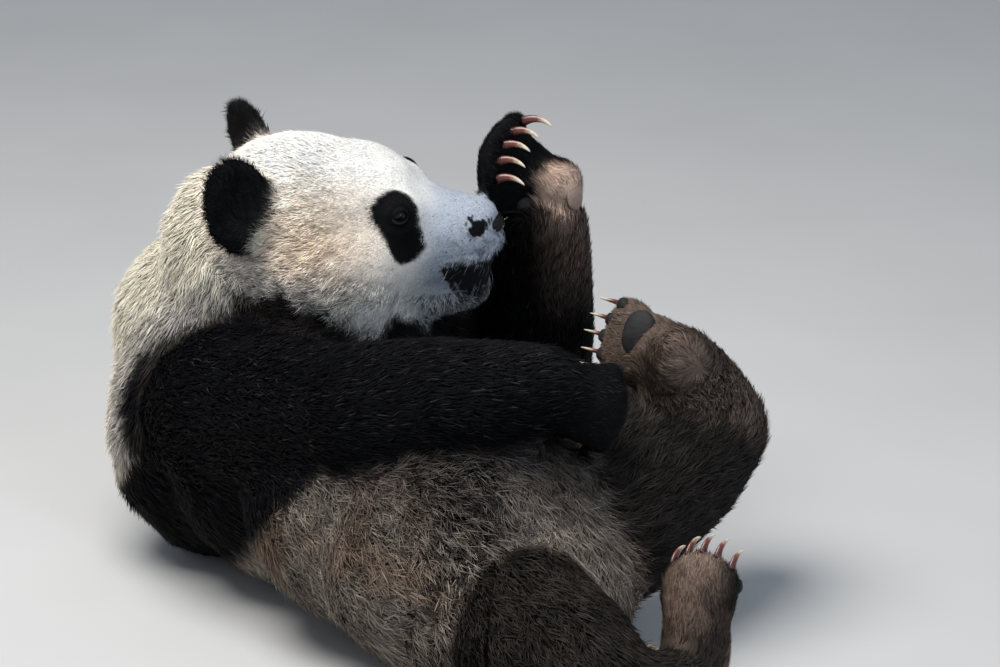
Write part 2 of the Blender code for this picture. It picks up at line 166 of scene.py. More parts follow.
def bell(values, breadth):
    """1 at 0, falling to nothing over a breadth or two."""
    return np.exp(-((values / breadth) ** 2))


def away_from(points, middle):
    return np.linalg.norm(points - np.array(middle), axis=1)


def spread(values, edges, times):
    """Evens values out over a mesh, each point with its neighbours."""
    flat = values.reshape(len(values), -1).astype(float)
    count = np.maximum(np.bincount(edges.ravel(), minlength=len(flat)), 1)[:, None]
    for _ in range(times):
        total = np.empty_like(flat)
        for column in range(flat.shape[1]):
            there = np.bincount(edges[:, 0], flat[edges[:, 1], column], len(flat))
            back = np.bincount(edges[:, 1], flat[edges[:, 0], column], len(flat))
            total[:, column] = there + back
        flat = 0.5 * flat + 0.5 * total / count
    return flat.reshape(values.shape)


def in_head(points):
    """Points of the row's frame, in the head's own."""
    turn = np.array(HEAD.inverted())
    return points @ turn[:3, :3].T + turn[:3, 3]


def wander(points, scale, seed):
    """A smooth random vector field that turns about once in the scale."""
    found = np.zeros((len(points), 3))
    source = np.random.default_rng(seed)
    for octave in (1.0, 1.9, 3.7):
        waves = source.normal(size=(3, 3, 3))
        phases = source.uniform(0, math.tau, (3, 3))
        for axis in range(3):
            for wave in range(3):
                angle = points @ (waves[axis, wave] * octave * 2.2 / scale) + phases[axis, wave]
                found[:, axis] += np.sin(angle) / octave
    return found / 3


def from_segment(points, start, end):
    """Each point's distance from a segment, and its share along it."""
    start, end = np.array(start), np.array(end)
    along = end - start
    share = np.clip((points - start) @ along / (along @ along), 0, 1)
    return np.linalg.norm(points - start - share[:, None] * along, axis=1), share


# Skin ----------------------------------------------------


SKIN_GRAIN = 0.0069  # the size of a face of the skin, away from the head


def join_flesh():
    """The nodes of flesh as one closed body, a little grown so that they run together.

    The nose's node fills its dent.
    """
    copies = [new_object("skin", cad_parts[name].data.copy()) for name in [*FLESH, "nose"]]
    body = copies[0]
    only(body)
    for copy in copies[1:]:
        copy.select_set(True)
    bpy.ops.object.join()
    with edit_mode():
        bpy.ops.mesh.select_all(action="SELECT")
        bpy.ops.mesh.remove_doubles(threshold=0.00002)
    modify(body, "DISPLACE", strength=0.0012, mid_level=0)
    modify(body, "REMESH", mode="VOXEL", voxel_size=SKIN_GRAIN)
    modify(body, "SMOOTH", factor=0.5, iterations=12)
    return body


def nearest_node(points):
    """The index in FLESH of the node that each point lies nearest."""
    corners, faces, owner = [], [], []
    for index, name in enumerate(FLESH):
        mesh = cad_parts[name].data
        start = len(corners)
        corners += [v.co.copy() for v in mesh.vertices]
        for face in mesh.polygons:
            faces.append([start + i for i in face.vertices])
            owner.append(index)
    tree = BVHTree.FromPolygons(corners, faces)
    return np.array([owner[tree.find_nearest(point)[2]] for point in points.tolist()])


def owned(names):
    """For each of the skin's points, whether its node is one of these."""
    return np.isin(owner, [FLESH.index(name) for name in names])


def refine(body, picked):
    """Parts the picked faces into finer ones."""
    mesh = body.data
    mesh.vertices.foreach_set("select", np.zeros(len(mesh.vertices), bool))
    mesh.edges.foreach_set("select", np.zeros(len(mesh.edges), bool))
    mesh.polygons.foreach_set("select", picked)
    only(body)
    with edit_mode("FACE"):
        pass
    mesh.polygons.foreach_set("select", picked)
    with edit_mode():
        bpy.ops.mesh.subdivide(number_cuts=1)
        bpy.ops.mesh.select_all(action="SELECT")
        bpy.ops.mesh.quads_convert_to_tris()


def refine_face(body):
    """Finer faces on the muzzle and cheeks, and again round the eyes, nose and mouth."""
    centres = in_head(numbers(body.data.polygons, "center").astype(float))
    face = (centres[:, 0] > 0.085) & (centres[:, 0] < 0.27) & (np.abs(centres[:, 1]) < 0.11)
    refine(body, face & (centres[:, 2] > -0.12) & (centres[:, 2] < 0.10))
    centres = in_head(numbers(body.data.polygons, "center").astype(float))
    fine = (centres[:, 0] > 0.165) & (np.abs(centres[:, 1]) < 0.07) & (np.abs(centres[:, 2] + 0.04) < 0.07)
    for side in (1, -1):
        fine |= ball(centres, mirrored(EYE_PLACE, side), (0.024, 0.024, 0.024)) < 1
    refine(body, fine)


def shaggy_share(places):
    """1 at the edge of the left hand nearest the nose, where longer locks stick out, and 0 elsewhere."""
    apart = away_from(places, at(0.012, 0.265, 0.462))
    return (1 - step(apart, 0.02, 0.045)) * owned(["hand_left", "forearm_left"])


def dress(body):
    """What the coat is like at each of the skin's points, evened out over the skin."""
    places = points_of(body)
    head = in_head(places)
    fields = np.zeros((len(places), 5))
    # Depth of the coat, length and width of a lock, locks to the square metre, and how tousled they are.
    kinds = {
        "neck": (0.013, 0.032, 0.0018, 150e3, 0.30),
        "shoulders": (0.012, 0.028, 0.0020, 116e3, 0.25),
        **dict.fromkeys(("chest", "abdomen", "rump"), (0.013, 0.034, 0.0017, 141e3, 0.58)),
        "tail": (0.012, 0.028, 0.0024, 90e3, 0.4),
        "ear": (0.006, 0.017, 0.0013, 270e3, 0.45),
        "upper_arm": (0.010, 0.025, 0.0020, 104e3, 0.22),
        "forearm": (0.009, 0.023, 0.0020, 104e3, 0.20),
        "hand": (0.0045, 0.012, 0.0014, 260e3, 0.20),
        "thigh": (0.011, 0.030, 0.0020, 94e3, 0.30),
        "shank": (0.009, 0.023, 0.0021, 98e3, 0.30),
        "hindfoot": (0.005, 0.013, 0.0016, 205e3, 0.25),
    }
    for part, kind in kinds.items():
        fields[owned([part] if part in FLESH else both(part))] = kind
    on_head = owned(ON_HEAD)
    back = 1 - step(head[:, 0], -0.06, 0.16)  # 0 on the muzzle, 1 behind the ears
    low = 1 - step(head[:, 2], -0.10, 0.00)  # 1 on the cheek and chin
    behind = step(-head[:, 0], -0.18, -0.08)  # 0 on the lips, 1 from the cheeks back
    fields[on_head, 0] = (0.0024 + 0.006 * back + 0.006 * low * behind)[on_head]
    fields[on_head, 1] = (0.0062 + 0.009 * back + 0.013 * low * behind)[on_head]
    fields[on_head, 2] = (0.0009 + 0.0007 * back + 0.0004 * low * behind)[on_head]
    fields[on_head, 3] = (485e3 - 215e3 * back - 80e3 * low * behind)[on_head]
    fields[on_head, 4] = (0.12 + 0.15 * back + 0.7 * low * behind)[on_head]
    beard = chin_share(head)
    fields[:, 1] += 0.011 * beard + 0.005 * lip_share(head)
    fields[:, 4] += 0.4 * beard
    edges = numbers(body.data.edges, "vertices", 2, np.int32)
    fields = spread(fields, edges, 10)
    fields[:, 1] += 0.012 * shaggy_share(places)
    underside = 1 - step(places[:, 2], 0.004, 0.045)
    fields[:, 0] *= 1 - 0.75 * underside
    fields[:, 1] *= 1 - 0.45 * underside
    fields[:, 3] *= 1 - 0.60 * underside
    return fields, edges


def chin_share(head):
    """1 under the chin, where longer pale locks hang like a short beard, and 0 elsewhere."""
    return (1 - step(head[:, 2], -0.096, -0.078)) * step(head[:, 0], 0.13, 0.17) * owned(ON_HEAD)


def lip_share(head):
    """1 just over the mouth's line, where the hairs hang over the lip, and 0 elsewhere."""
    over = bell(head[:, 2] - mouth_line(head) - 0.004, 0.007)
    return over * step(head[:, 0], MOUTH_BACK - 0.01, MOUTH_BACK + 0.01) * owned(ON_HEAD)


def comb(body, edges):
    """The lie of the coat: a direction along the skin at each of its points."""
    places = points_of(body)
    turn = np.array(HEAD)[:3, :3]
    away = in_head(places) - np.array([0.235, 0, 0.0])
    away[:, 0] -= 0.06
    away[:, 2] -= 0.03 * step(-away[:, 0], 0.04, 0.14)
    away[:, 2] -= 0.05 * step(-away[:, 2], -0.01, 0.03) * step(away[:, 0], -0.20, -0.09)
    lie = unit(away) @ turn.T
    runs = {
        "neck": Vector((-0.10, 0.04, -0.22)),
        "shoulders": SPINE + Vector((0, 0, -0.35)),
        **dict.fromkeys(("chest", "abdomen", "rump"), SPINE + Vector((0, 0, -0.30))),
        "tail": Vector((1, 0, -0.1)),
        "hand_right": Vector((0.9, 0.1, -0.4)),
        "hand_left": Vector((-0.6, -0.1, 0.7)),
    }
    limbs = {"upper_arm": (SHOULDER, ELBOW), "forearm": (ELBOW, WRIST), "thigh": (HIP, KNEE)}
    limbs.update(shank=(KNEE, HEEL), hindfoot=(HEEL, TOES))
    for side in SIDES:
        for part, (start, end) in limbs.items():
            runs[f"{part}_{side}"] = end[side] - start[side]
    for name, run in runs.items():
        lie[owned([name])] = run
    for eye_side in (1, -1):
        ahead, off = beside_eye(in_head(places), eye_side)
        round_eye = (1 - step(off, 0.014, 0.026)) * (ahead > EYE_BACK)
        from_eye = places - np.array(HEAD @ mirrored(EYE_PLACE - GAZE * 0.02, eye_side))
        lie += round_eye[:, None] * (unit(from_eye) - lie)
    beard = chin_share(in_head(places))[:, None]
    lie += beard * (turn @ np.array([0.5, 0.0, -1.0]) - lie)
    lie += 0.7 * lip_share(in_head(places))[:, None] * (turn @ np.array([-0.1, 0.0, -1.0]) - lie)
    lie += shaggy_share(places)[:, None] * (unit(np.array([[-1.0, -0.4, -0.2]])) - lie)
    for name, side in (("ear_left", 1), ("ear_right", -1)):
        root = np.array(HEAD @ Vector((-0.045, 0.085 * side, 0.030)))
        lie[owned([name])] = (places - root)[owned([name])]
    skin_normals = normals_of(body)
    lie = unit(lie)
    for _ in range(3):
        lie = spread(lie, edges, 8)
        lie = unit(lie - skin_normals * (lie * skin_normals).sum(1, keepdims=True))
    return lie


# Colours of the coat, as linear light.
WHITE = np.array([0.93, 0.91, 0.87])
CREAM = np.array([0.79, 0.595, 0.435])
# grey: some dirt and a painted shade, low on the cheek and on the neck by the right shoulder
GREY_DIRT_AND_SHADE = np.array([0.38, 0.350, 0.320])
RUFF = np.array([0.64, 0.59, 0.48])
MUZZLE_GREY_AND_SKY_TINT = np.array([0.385, 0.42, 0.49])  # the muzzle's grey, made bluish by a painted reflection of the sky
DUST = np.array([0.28, 0.235, 0.195])
EARTH = np.array([0.22, 0.155, 0.115])
SHADE = np.array([0.058, 0.050, 0.046])
BLACK = np.array([0.0020, 0.0021, 0.0031])
# greyish hair on the ears' black, with a painted sheen
EAR_GREY_AND_SHEEN = np.array([0.0090, 0.0088, 0.0095])
# brown-black of the legs; over the cheek it also makes a painted sheen
BROWN = np.array([0.018, 0.0145, 0.0125])
# rusty brown of the left arm and leg; on the knee it also carries a painted highlight
RUST = np.array([0.185, 0.132, 0.106])
TAN = np.array([0.66, 0.46, 0.36])
BEARD = np.array([0.52, 0.52, 0.53])
STRAY = np.array([0.040, 0.034, 0.032])  # single paler locks in the black
WHISKER = np.array([0.35, 0.35, 0.36])
BLACK_REACH = 0.137  # the neck is black this near the line of the upper arm


def mix(base, other, share):
    return base + (other - base) * share[:, None]


def ball(places, middle, sizes):
    """How far each place is out from a middle, in units of the sizes."""
    return np.linalg.norm((places - np.array(middle)) / np.array(sizes), axis=1)


def pale_parts(places, head, noise):
    """The coat's white, cream and grey, with a painted shade low on the cheek and a painted bluish sky
    reflection on the muzzle's grey.
    """
    colours = np.tile(WHITE, (len(places), 1))
    flank_of_head = step(np.abs(head[:, 1]), 0.03, 0.09)
    blush = bell(ball(head * np.array([1, 0, 1]), (0.015, 0, 0.010), (0.105, 1, 0.082)), 1)
    colours = mix(colours, CREAM, blush * flank_of_head)
    colours = mix(colours, CREAM, 0.55 * (1 - step(head[:, 0], -0.12, -0.02)))
    # Painted shade, with some grey dirt, low on the cheek, which faces down away from the light; it fades
    # towards the muzzle.
    low = 1 - step(head[:, 2] + 0.012 * noise, -0.042, 0.030)
    colours = mix(colours, GREY_DIRT_AND_SHADE, 0.95 * low * (1 - 0.85 * step(head[:, 0], 0.05, 0.10)))
    # The muzzle's grey, with a painted bluish reflection of the sky.
    colours = mix(colours, MUZZLE_GREY_AND_SKY_TINT, step(head[:, 0] + 0.006 * noise, 0.135, 0.178))
    return mix(colours, BEARD, chin_share(head))


def over_cheek(head, noise):
    """Where the black of the right shoulder laps over the cheek and neck that rest on it."""
    past = head[:, 0] + 0.015
    behind, before = np.maximum(-past, 0), np.maximum(past, 0)
    edge = -0.040 - 0.093 * (behind / 0.175) ** 1.25 - 48 * np.maximum(behind - 0.165, 0) ** 2
    edge -= 0.056 * (before / 0.099) ** 1.45
    return (head[:, 2] + 0.006 * noise < edge) & (head[:, 1] < -0.035) & (head[:, 0] < 0.10)


def markings(places, edges):
    """The coat's colour at each of the skin's points."""
    head = in_head(places)
    noise = wander(places, 0.05, 5)[:, 0]
    colours = pale_parts(places, head, noise)
    neck = owned(["neck"])
    # The neck greyer near the right shoulder: a painted shadow under the head.
    from_shoulder = from_segment(places, SHOULDER["right"], ELBOW["right"])[0]
    colours[neck] = mix(np.tile(RUFF, (len(places), 1)), GREY_DIRT_AND_SHADE, 1 - step(from_shoulder, 0.14, 0.20))[neck]
    body = ~owned([*ON_HEAD, "neck", *both("ear")])
    dust_and_shade = mix(np.tile(DUST, (len(places), 1)), EARTH, step(wander(places, 0.09, 6)[:, 1], 0.0, 0.5))
    # Darker higher up the body: a painted shade.
    dust_and_shade = mix(dust_and_shade, SHADE, step(places[:, 2] + 0.03 * noise, 0.10, 0.32))
    colours[body] = dust_and_shade[body]
    colours[owned(["tail"])] = DUST
    colours = spread(colours, edges, 8)

    dark = owned(["shoulders", *both("upper_arm", "forearm", "hand", "ear")])
    for side in SIDES:
        dark |= neck & (from_segment(places, SHOULDER[side], ELBOW[side])[0] < BLACK_REACH)
    dark |= owned(["neck", "head"]) & over_cheek(head, noise)
    legs = owned(both("thigh", "shank", "hindfoot"))
    black = spread((dark | legs).astype(float), edges, 3)
    tint = np.tile(BLACK, (len(places), 1))
    tint = mix(tint, BROWN, spread(legs.astype(float), edges, 12))
    along_arm = from_segment(places, HAND["left"], WRIST["left"].lerp(ELBOW["left"], 0.5))[1]
    browner = spread(owned(["forearm_left"]).astype(float), edges, 6) * (1 - along_arm)
    tint = mix(tint, RUST, browner * step(places[:, 0] - ORIGIN.x, 0.03, 0.10))
    heel_of_hand = away_from(places, at(0.094, 0.262, 0.488))
    tint = mix(tint, TAN, 1 - step(heel_of_hand + 0.008 * noise, 0.032, 0.052))
    shank = spread(owned(["shank_left", "hindfoot_left"]).astype(float), edges, 10)
    tint = mix(tint, RUST, 0.55 * shank)
    # Paler rusty brown over the left knee: the leg's own brown, with a painted highlight where the light from
    # above falls.
    knee = away_from(places, KNEE["left"] + Vector((0.0, -0.03, 0.05)))
    tint = mix(tint, RUST, (1 - step(knee + 0.02 * noise, 0.04, 0.10)) * legs)
    foot = from_segment(places, HEEL["right"], TOES["right"])[0]
    tint = mix(tint, TAN, 0.25 * (1 - step(foot + 0.01 * noise, 0.03, 0.06)) * owned(["hindfoot_right"]))
    # A painted brownish sheen on the black that laps over the cheek and neck.
    tint = mix(tint, BROWN, 0.7 * over_cheek(head, noise) * owned(["neck", "head"]))
    # The ears' black made greyer: greyish hair with a painted sheen.
    tint = mix(tint, EAR_GREY_AND_SHEEN, 0.5 * spread(owned(both("ear")).astype(float), edges, 3))
    notch = ball(head * np.array([1, 0, 1]), (-0.018, 0, 0.018), (0.030, 1, 0.038))
    notch = (1 - step(notch + 0.25 * noise, 0.90, 1.10)) * owned(["ear_right"])
    tint = mix(tint, RUFF, notch)
    colours = mix(colours, tint, black)
    return mix(colours, BLACK, inked(head, noise))


def mouth_line(head):
    """The height of the mouth's line, which rises at the front."""
    return MOUTH_HEIGHT + 0.012 * step(head[:, 0], 0.238, 0.254)


def inked(head, noise):
    """The black marks of the face: the eyes' patches, the nostrils' wings, the lips, and scuffs."""
    ink = np.zeros(len(head))
    rough = wander(head, 0.009, 11)
    for side in (1, -1):
        tall = np.array([1, 1, 1.15])
        top, bottom = np.array([0.120, 0.069 * side, 0.035]), np.array([0.139, 0.081 * side, -0.007])
        reach, share = from_segment(head * tall, top * tall, bottom * tall)
        broad = 0.0335 if side < 0 else 0.0300
        edge = reach - (broad - 0.0090 * share) + 0.0020 * rough[:, 0]
        ink = np.maximum(ink, 1 - step(edge, -0.003, 0.0025))
        wing = ball(head, (0.2240, 0.037 * side, 0.0030), (0.0165, 0.022, 0.0112)) + 0.45 * rough[:, 1]
        ink = np.maximum(ink, 1 - step(wing, 0.90, 1.10))
    across = np.clip(1 - ((head[:, 0] - 0.214) / 0.035) ** 2, 0.0, 1)
    under = (mouth_line(head) + 0.001 - head[:, 2]) / (0.0530 * np.sqrt(across) + 0.0002)
    lip = np.minimum(
        step(under + 0.10 * rough[:, 0], -0.02, 0.05), 1 - step(under + 0.25 * rough[:, 2], 0.88, 1.10)
    )
    ink = np.maximum(ink, 0.98 * lip * owned(ON_HEAD) * (across > 0.01))
    mottled = step(rough[:, 0] + 0.5 * rough[:, 2], -0.1, 0.7) * step(head[:, 0], 0.165, 0.215)
    mottled *= (1 - step(head[:, 2], -0.020, 0.020)) * (head[:, 0] < MUZZLE_END) * owned(ON_HEAD)
    ink = np.maximum(ink, 0.50 * mottled)
    scuff = away_from(head, [0.085, -0.045, 0.098]) + 0.004 * noise
    return np.maximum(ink, 0.40 * (1 - step(scuff, 0.003, 0.010)))


def beside_eye(head, side):
    """How far each point lies ahead of the eye's middle along its gaze, and how far off to the side."""
    gaze = np.array(mirrored(GAZE, side))
    apart = head - np.array(mirrored(EYE_PLACE, side))
    ahead = apart @ gaze
    return ahead, np.linalg.norm(apart - ahead[:, None] * gaze, axis=1)


def eye_seat(off):
    """How far ahead of the eye's middle the skin lies round it."""
    return 0.0085 - 0.35 * (off - 0.011)


# The mouth's folds: how deep each goes into the skin, its height from the mouth's line, and its breadth.
LIP_FOLDS = (
    (0.0042, -0.0005, 0.0020),
    (-0.0022, 0.006, 0.005),
    (0.0020, -0.014, 0.009),
    (-0.0016, -0.0048, 0.0024),
)
CHIN_FRONT = (0.232, 0.0, -0.080)


def sculpt_face(body, fields):
    """Sinks the skin by the coat's depth and works the mouth, nostrils and eye sockets into it."""
    places = points_of(body)
    outwards = normals_of(body)
    head = in_head(places)
    sink = fields[:, 0].copy()
    on_face = owned(ON_HEAD) & (head[:, 0] > 0.08)
    line = head[:, 2] - mouth_line(head)
    ahead = step(head[:, 0], MOUTH_BACK - 0.006, MOUTH_BACK + 0.014)
    for depth, height, breadth in LIP_FOLDS:
        sink += depth * bell(line - height, breadth) * ahead * on_face
    sink -= 0.0024 * bell(away_from(head, CHIN_FRONT), 0.024) * on_face
    under_pad = 1 - step(ball(head, PAD_PLACE, PAD_SIZE + 0.004), 0.85, 1.25)
    sink += 0.0030 * under_pad * on_face
    places -= outwards * sink[:, None]
    head = in_head(places)
    for side in (1, -1):
        gaze = np.array(mirrored(GAZE, side))
        ahead_of_eye, off = beside_eye(head, side)
        seat = eye_seat(off) - 0.0045 * (1 - step(off, 0.0068, 0.0088))
        share = (1 - step(off, 0.0145, 0.0215)) * (ahead_of_eye > EYE_BACK)
        head += gaze * ((seat - ahead_of_eye) * share)[:, None]
    turn = np.array(HEAD)
    places = head @ turn[:3, :3].T + turn[:3, 3]
    move_points(body.data, places)
    modify(body, "SMOOTH", factor=0.4, iterations=2)


def unwrap(body):
    """Lays the skin's own shape out flat, as the map that the skin and each lock read."""
    only(body)
    while body.data.uv_layers:
        body.data.uv_layers.remove(body.data.uv_layers[0])
    body.data.uv_layers.new(name="OFBake")
    with edit_mode():
        bpy.ops.mesh.select_all(action="SELECT")
        bpy.ops.uv.smart_project(angle_limit=math.radians(66), island_margin=0.0005)


def set_colours(mesh, colours):
    layer = mesh.color_attributes.new("coat_colour", "FLOAT_COLOR", "POINT")
    filled = np.ones((len(colours), 4), np.float32)
    filled[:, :3] = colours
    layer.data.foreach_set("color", filled.ravel())


# Coat ----------------------------------------------------


def root_places(body, fields, source):
    """Roots for the locks, spread evenly: the triangle of the skin, and the place in it."""
    mesh = body.data
    mesh.calc_loop_triangles()
    corners = numbers(mesh.loop_triangles, "vertices", 3, np.int32)
    loops = numbers(mesh.loop_triangles, "loops", 3, np.int32)
    areas = numbers(mesh.loop_triangles, "area", 1)
    wanted = fields[corners, 3].mean(axis=1) * areas
    count = np.floor(wanted + source.random(len(wanted))).astype(int)
    chosen = np.repeat(np.arange(len(count)), count)
    u, v = source.random(len(chosen)), source.random(len(chosen))
    over = u + v > 1
    u[over], v[over] = 1 - u[over], 1 - v[over]
    weights = np.stack([1 - u - v, u, v], axis=1)
    return corners[chosen], loops[chosen], weights


def at_roots(values, corners, weights):
    return (values[corners] * weights[:, :, None]).sum(axis=1)


LOCK_CORNERS = ((-1, -0.25), (1, -0.25), (0, 0.55))  # of a lock's three-sided section: sideways, upwards
SOFTNESS = 0.36  # how much a lock is shaded as the body's form under it is
ROOT_DEPTH = 0.0010
THICKEST = 0.42  # where a bent lock is widest, as a share of its length


def grow(name, roots, outwards, lie, shape, colours, map_places, bent):
    """Locks as one mesh. Each is a closed three-sided spike: straight, or bent with a thin root in the skin.

    Shape holds, for each lock: length, width, lift at its root and at its tip, and sideways turn, in radians.
    """
    many = len(roots)
    length, width, lift, end_lift, swerve = (shape[:, i] for i in range(5))
    side = unit(np.cross(outwards, lie))
    root = roots - outwards * ROOT_DEPTH
    size = 5 if bent else 4
    points = np.zeros((many, size, 3))
    normals = np.zeros((many, size, 3))
    strand = np.zeros((many, size, 3))
    tilt = lift[:, None]
    heading = np.cos(tilt) * lie + np.sin(tilt) * outwards
    rise = np.cos(tilt) * outwards - np.sin(tilt) * lie
    thickest = THICKEST if bent else 0.0
    middle = root + heading * (length * thickest)[:, None]
    for corner, (sideways, upwards) in enumerate(LOCK_CORNERS):
        apart = sideways * side + upwards * rise
        points[:, corner] = middle + (0.5 * width)[:, None] * apart
        normals[:, corner] = unit(apart)
        strand[:, corner, 0] = (corner - 0.5) * 0.5
        strand[:, corner, 1] = thickest
    tilt = end_lift[:, None]
    turn = swerve[:, None]
    along = np.cos(turn) * lie + np.sin(turn) * side
    heading = np.cos(tilt) * along + np.sin(tilt) * outwards
    points[:, 3] = middle + heading * (length * (1 - thickest))[:, None]
    normals[:, 3] = rise
    strand[:, 3, 1] = 1
    faces = [(0, 1, 3), (1, 2, 3), (2, 0, 3)]
    if bent:
        points[:, 4] = root
        normals[:, 4] = outwards
        faces += [(1, 0, 4), (2, 1, 4), (0, 2, 4)]
    else:
        faces += [(0, 2, 1)]
    normals = SOFTNESS * outwards[:, None] + (1 - SOFTNESS) * normals
    points[:, :, 2] = np.maximum(points[:, :, 2], FLOOR_GAP)
    strand[:, :, 2] = np.arange(many)[:, None] * 0.37
    faces = np.array(faces)
    loops = (faces[None] + (np.arange(many) * size)[:, None, None]).reshape(-1)

    mesh = bpy.data.meshes.new(name)
    mesh.vertices.add(many * size)
    mesh.vertices.foreach_set("co", points.astype(np.float32).ravel())
    mesh.loops.add(len(loops))
    mesh.loops.foreach_set("vertex_index", loops.astype(np.int32))
    mesh.polygons.add(len(loops) // 3)
    mesh.polygons.foreach_set("loop_start", np.arange(0, len(loops), 3, dtype=np.int32))
    mesh.polygons.foreach_set("use_smooth", np.ones(len(loops) // 3, bool))
    mesh.update(calc_edges=True)
    flat = strand.reshape(-1, 3)
    layer = mesh.uv_layers.new(name="OFBake")
    patch = np.stack([flat[:, 0], flat[:, 1] - 0.5], axis=1) * PATCH
    spots = np.repeat(map_places, size, axis=0) + patch
    layer.data.foreach_set("uv", spots[loops].astype(np.float32).ravel())
    # Each lock darker at its root and paler at its tip: dirt at the root and a painted shade deep in the
    # coat.
    depth = 0.72 + 0.34 * flat[:, 1:2]
    set_colours(mesh, np.repeat(colours, size, axis=0) * depth)
    layer = mesh.attributes.new("strand", "FLOAT_VECTOR", "POINT")
    layer.data.foreach_set("vector", flat.astype(np.float32).ravel())
    mesh.normals_split_custom_set_from_vertices(unit(normals.reshape(-1, 3)).tolist())
    return new_object(name, mesh)


# Each length of the coat: the nodes that it grows on, and whether its locks are bent.
PIECES = {
    "coat_face_right": (ON_HEAD, False),
    "coat_face_left": (ON_HEAD, False),
    "coat_cheeks": (ON_HEAD, True),
    "coat_ears": (both("ear"), False),
    "coat_neck": (["neck"], True),
    "coat_shoulders": (["shoulders"], True),
    "coat_chest": (["chest"], True),
    "coat_belly": (["abdomen"], True),
    "coat_rump": (["rump", "tail"], True),
    "coat_arm_right": (["upper_arm_right", "forearm_right"], True),
    "coat_arm_left": (["upper_arm_left", "forearm_left"], True),
    "coat_leg_right": (["thigh_right", "shank_right"], True),
    "coat_leg_left": (["thigh_left", "shank_left"], True),
    "coat_hands": (both("hand"), False),
    "coat_feet": (both("hindfoot"), False),
}
COAT_SEED = 23
WHISKERS = 70
SHORT_LOCK = 0.0125  # up to this length the head's locks are straight


def grow_coat(body, fields, lie, colours):
    """The whole coat, a piece for each length of the body."""
    source = np.random.default_rng(COAT_SEED)
    corners, loops, weights = root_places(body, fields, source)
    many = len(corners)
    places = points_of(body)
    outwards = unit(at_roots(normals_of(body), corners, weights))
    roots = at_roots(places, corners, weights)
    here = at_roots(fields, corners, weights)
    flow = at_roots(lie, corners, weights)
    flow = unit(flow - outwards * (flow * outwards).sum(1, keepdims=True))
    map_all = numbers(body.data.uv_layers["OFBake"].data, "uv", 2).astype(float)
    map_places = (map_all[loops] * weights[:, :, None]).sum(axis=1)
    tousle = here[:, 4]
    waves = wander(roots, 0.035, 3)
    clumps = wander(roots, 0.012, 4)
    turn = tousle * (1.1 * waves[:, 0] + 0.9 * clumps[:, 0]) + source.normal(0, 0.16, many) * (0.5 + tousle)
    side = np.cross(outwards, flow)
    flow = np.cos(turn)[:, None] * flow + np.sin(turn)[:, None] * side
    short = here[:, 1] * (0.85 + 0.30 * source.random(many)) * (1 + 0.12 * clumps[:, 1])
    rise = np.arcsin(np.clip(1.55 * here[:, 0] / here[:, 1], 0.05, 0.75))
    head = in_head(roots)
    under_chin = (1 - step(head[:, 2], -0.096, -0.078)) * step(head[:, 0], 0.14, 0.18)
    rise += 0.55 * under_chin * (head[:, 0] < MUZZLE_END)
    shape = np.stack(
        [
            short,
            here[:, 2] * (0.8 + 0.5 * source.random(many)),
            rise * (0.85 + 0.3 * source.random(many) + 0.35 * tousle * clumps[:, 2]),
            rise * 0.30 + 0.12 * source.normal(0, 1, many) * (0.4 + tousle),
            tousle * source.normal(0, 0.75, many) + 0.6 * tousle * waves[:, 1],
        ],
        axis=1,
    )
    tone = at_roots(colours, corners, weights)
    bright = tone.mean(axis=1)
    wild = np.interp(bright, [0.0, 0.01, 0.05, 0.2, 0.5, 0.9], [0.5, 0.5, 0.42, 0.38, 0.28, 0.11])
    fine = wander(roots, 0.005, 9)
    patchy = wild * (source.normal(0, 1, many) + 0.9 * clumps[:, 0] + 0.9 * fine[:, 0])
    tone = tone * np.clip(1 + patchy, 0.35, 2.2)[:, None]
    faded = (bright < 0.06) * (source.random(many) < 0.05)
    tone = mix(tone, STRAY, faded * 0.6)
    near_lips = step(head[:, 0], 0.15, 0.23) * (1 - step(head[:, 2], -0.02, 0.03))
    speckled = (0.08 * step(head[:, 0], 0.13, 0.18) + 0.28 * near_lips) * (1 + 1.2 * fine[:, 1])
    muzzle = (bright > 0.05) & (source.random(many) < speckled) & (head[:, 0] < MUZZLE_END)
    tone = mix(tone, BLACK, 0.85 * muzzle)
    shape[muzzle, 1] *= 1.4
    shape[muzzle, 2] *= 1.6
    tone *= 1 + 0.04 * source.normal(0, 1, (many, 3)) * np.array([0.3, 0.2, 1.0])
    tone = np.clip(tone, 0.0008, 0.93)
    home = owner[corners[:, 0]]
    short_lock = here[:, 1] + source.normal(0, 0.0012, many) < SHORT_LOCK
    pieces = []
    for name, (nodes, bent) in PIECES.items():
        chosen = np.isin(home, [FLESH.index(node) for node in nodes])
        if name == "coat_face_right":
            chosen &= short_lock & (head[:, 1] < 0)
        if name == "coat_face_left":
            chosen &= short_lock & (head[:, 1] >= 0)
        if name == "coat_cheeks":
            chosen &= ~short_lock
        picked = (roots, outwards, flow, shape, tone, map_places)
        pieces.append(grow(name, *(values[chosen] for values in picked), bent))
    near_mouth = (head[:, 0] > 0.185) & (head[:, 2] < -0.015) & owned(ON_HEAD)[corners[:, 0]]
    chosen = np.flatnonzero(near_mouth)[:: max(1, near_mouth.sum() // WHISKERS)]
    shape[chosen, 0] = source.uniform(0.012, 0.032, len(chosen))
    shape[chosen, 1] = 0.0004
    shape[chosen, 2] = source.uniform(0.30, 0.75, len(chosen))
    shape[chosen, 3] = shape[chosen, 2] * 0.4
    tone[chosen] = WHISKER
    pieces.append(grow("whiskers", *(values[chosen] for values in picked), True))
    return pieces


# Finishes ------------------------------------------------


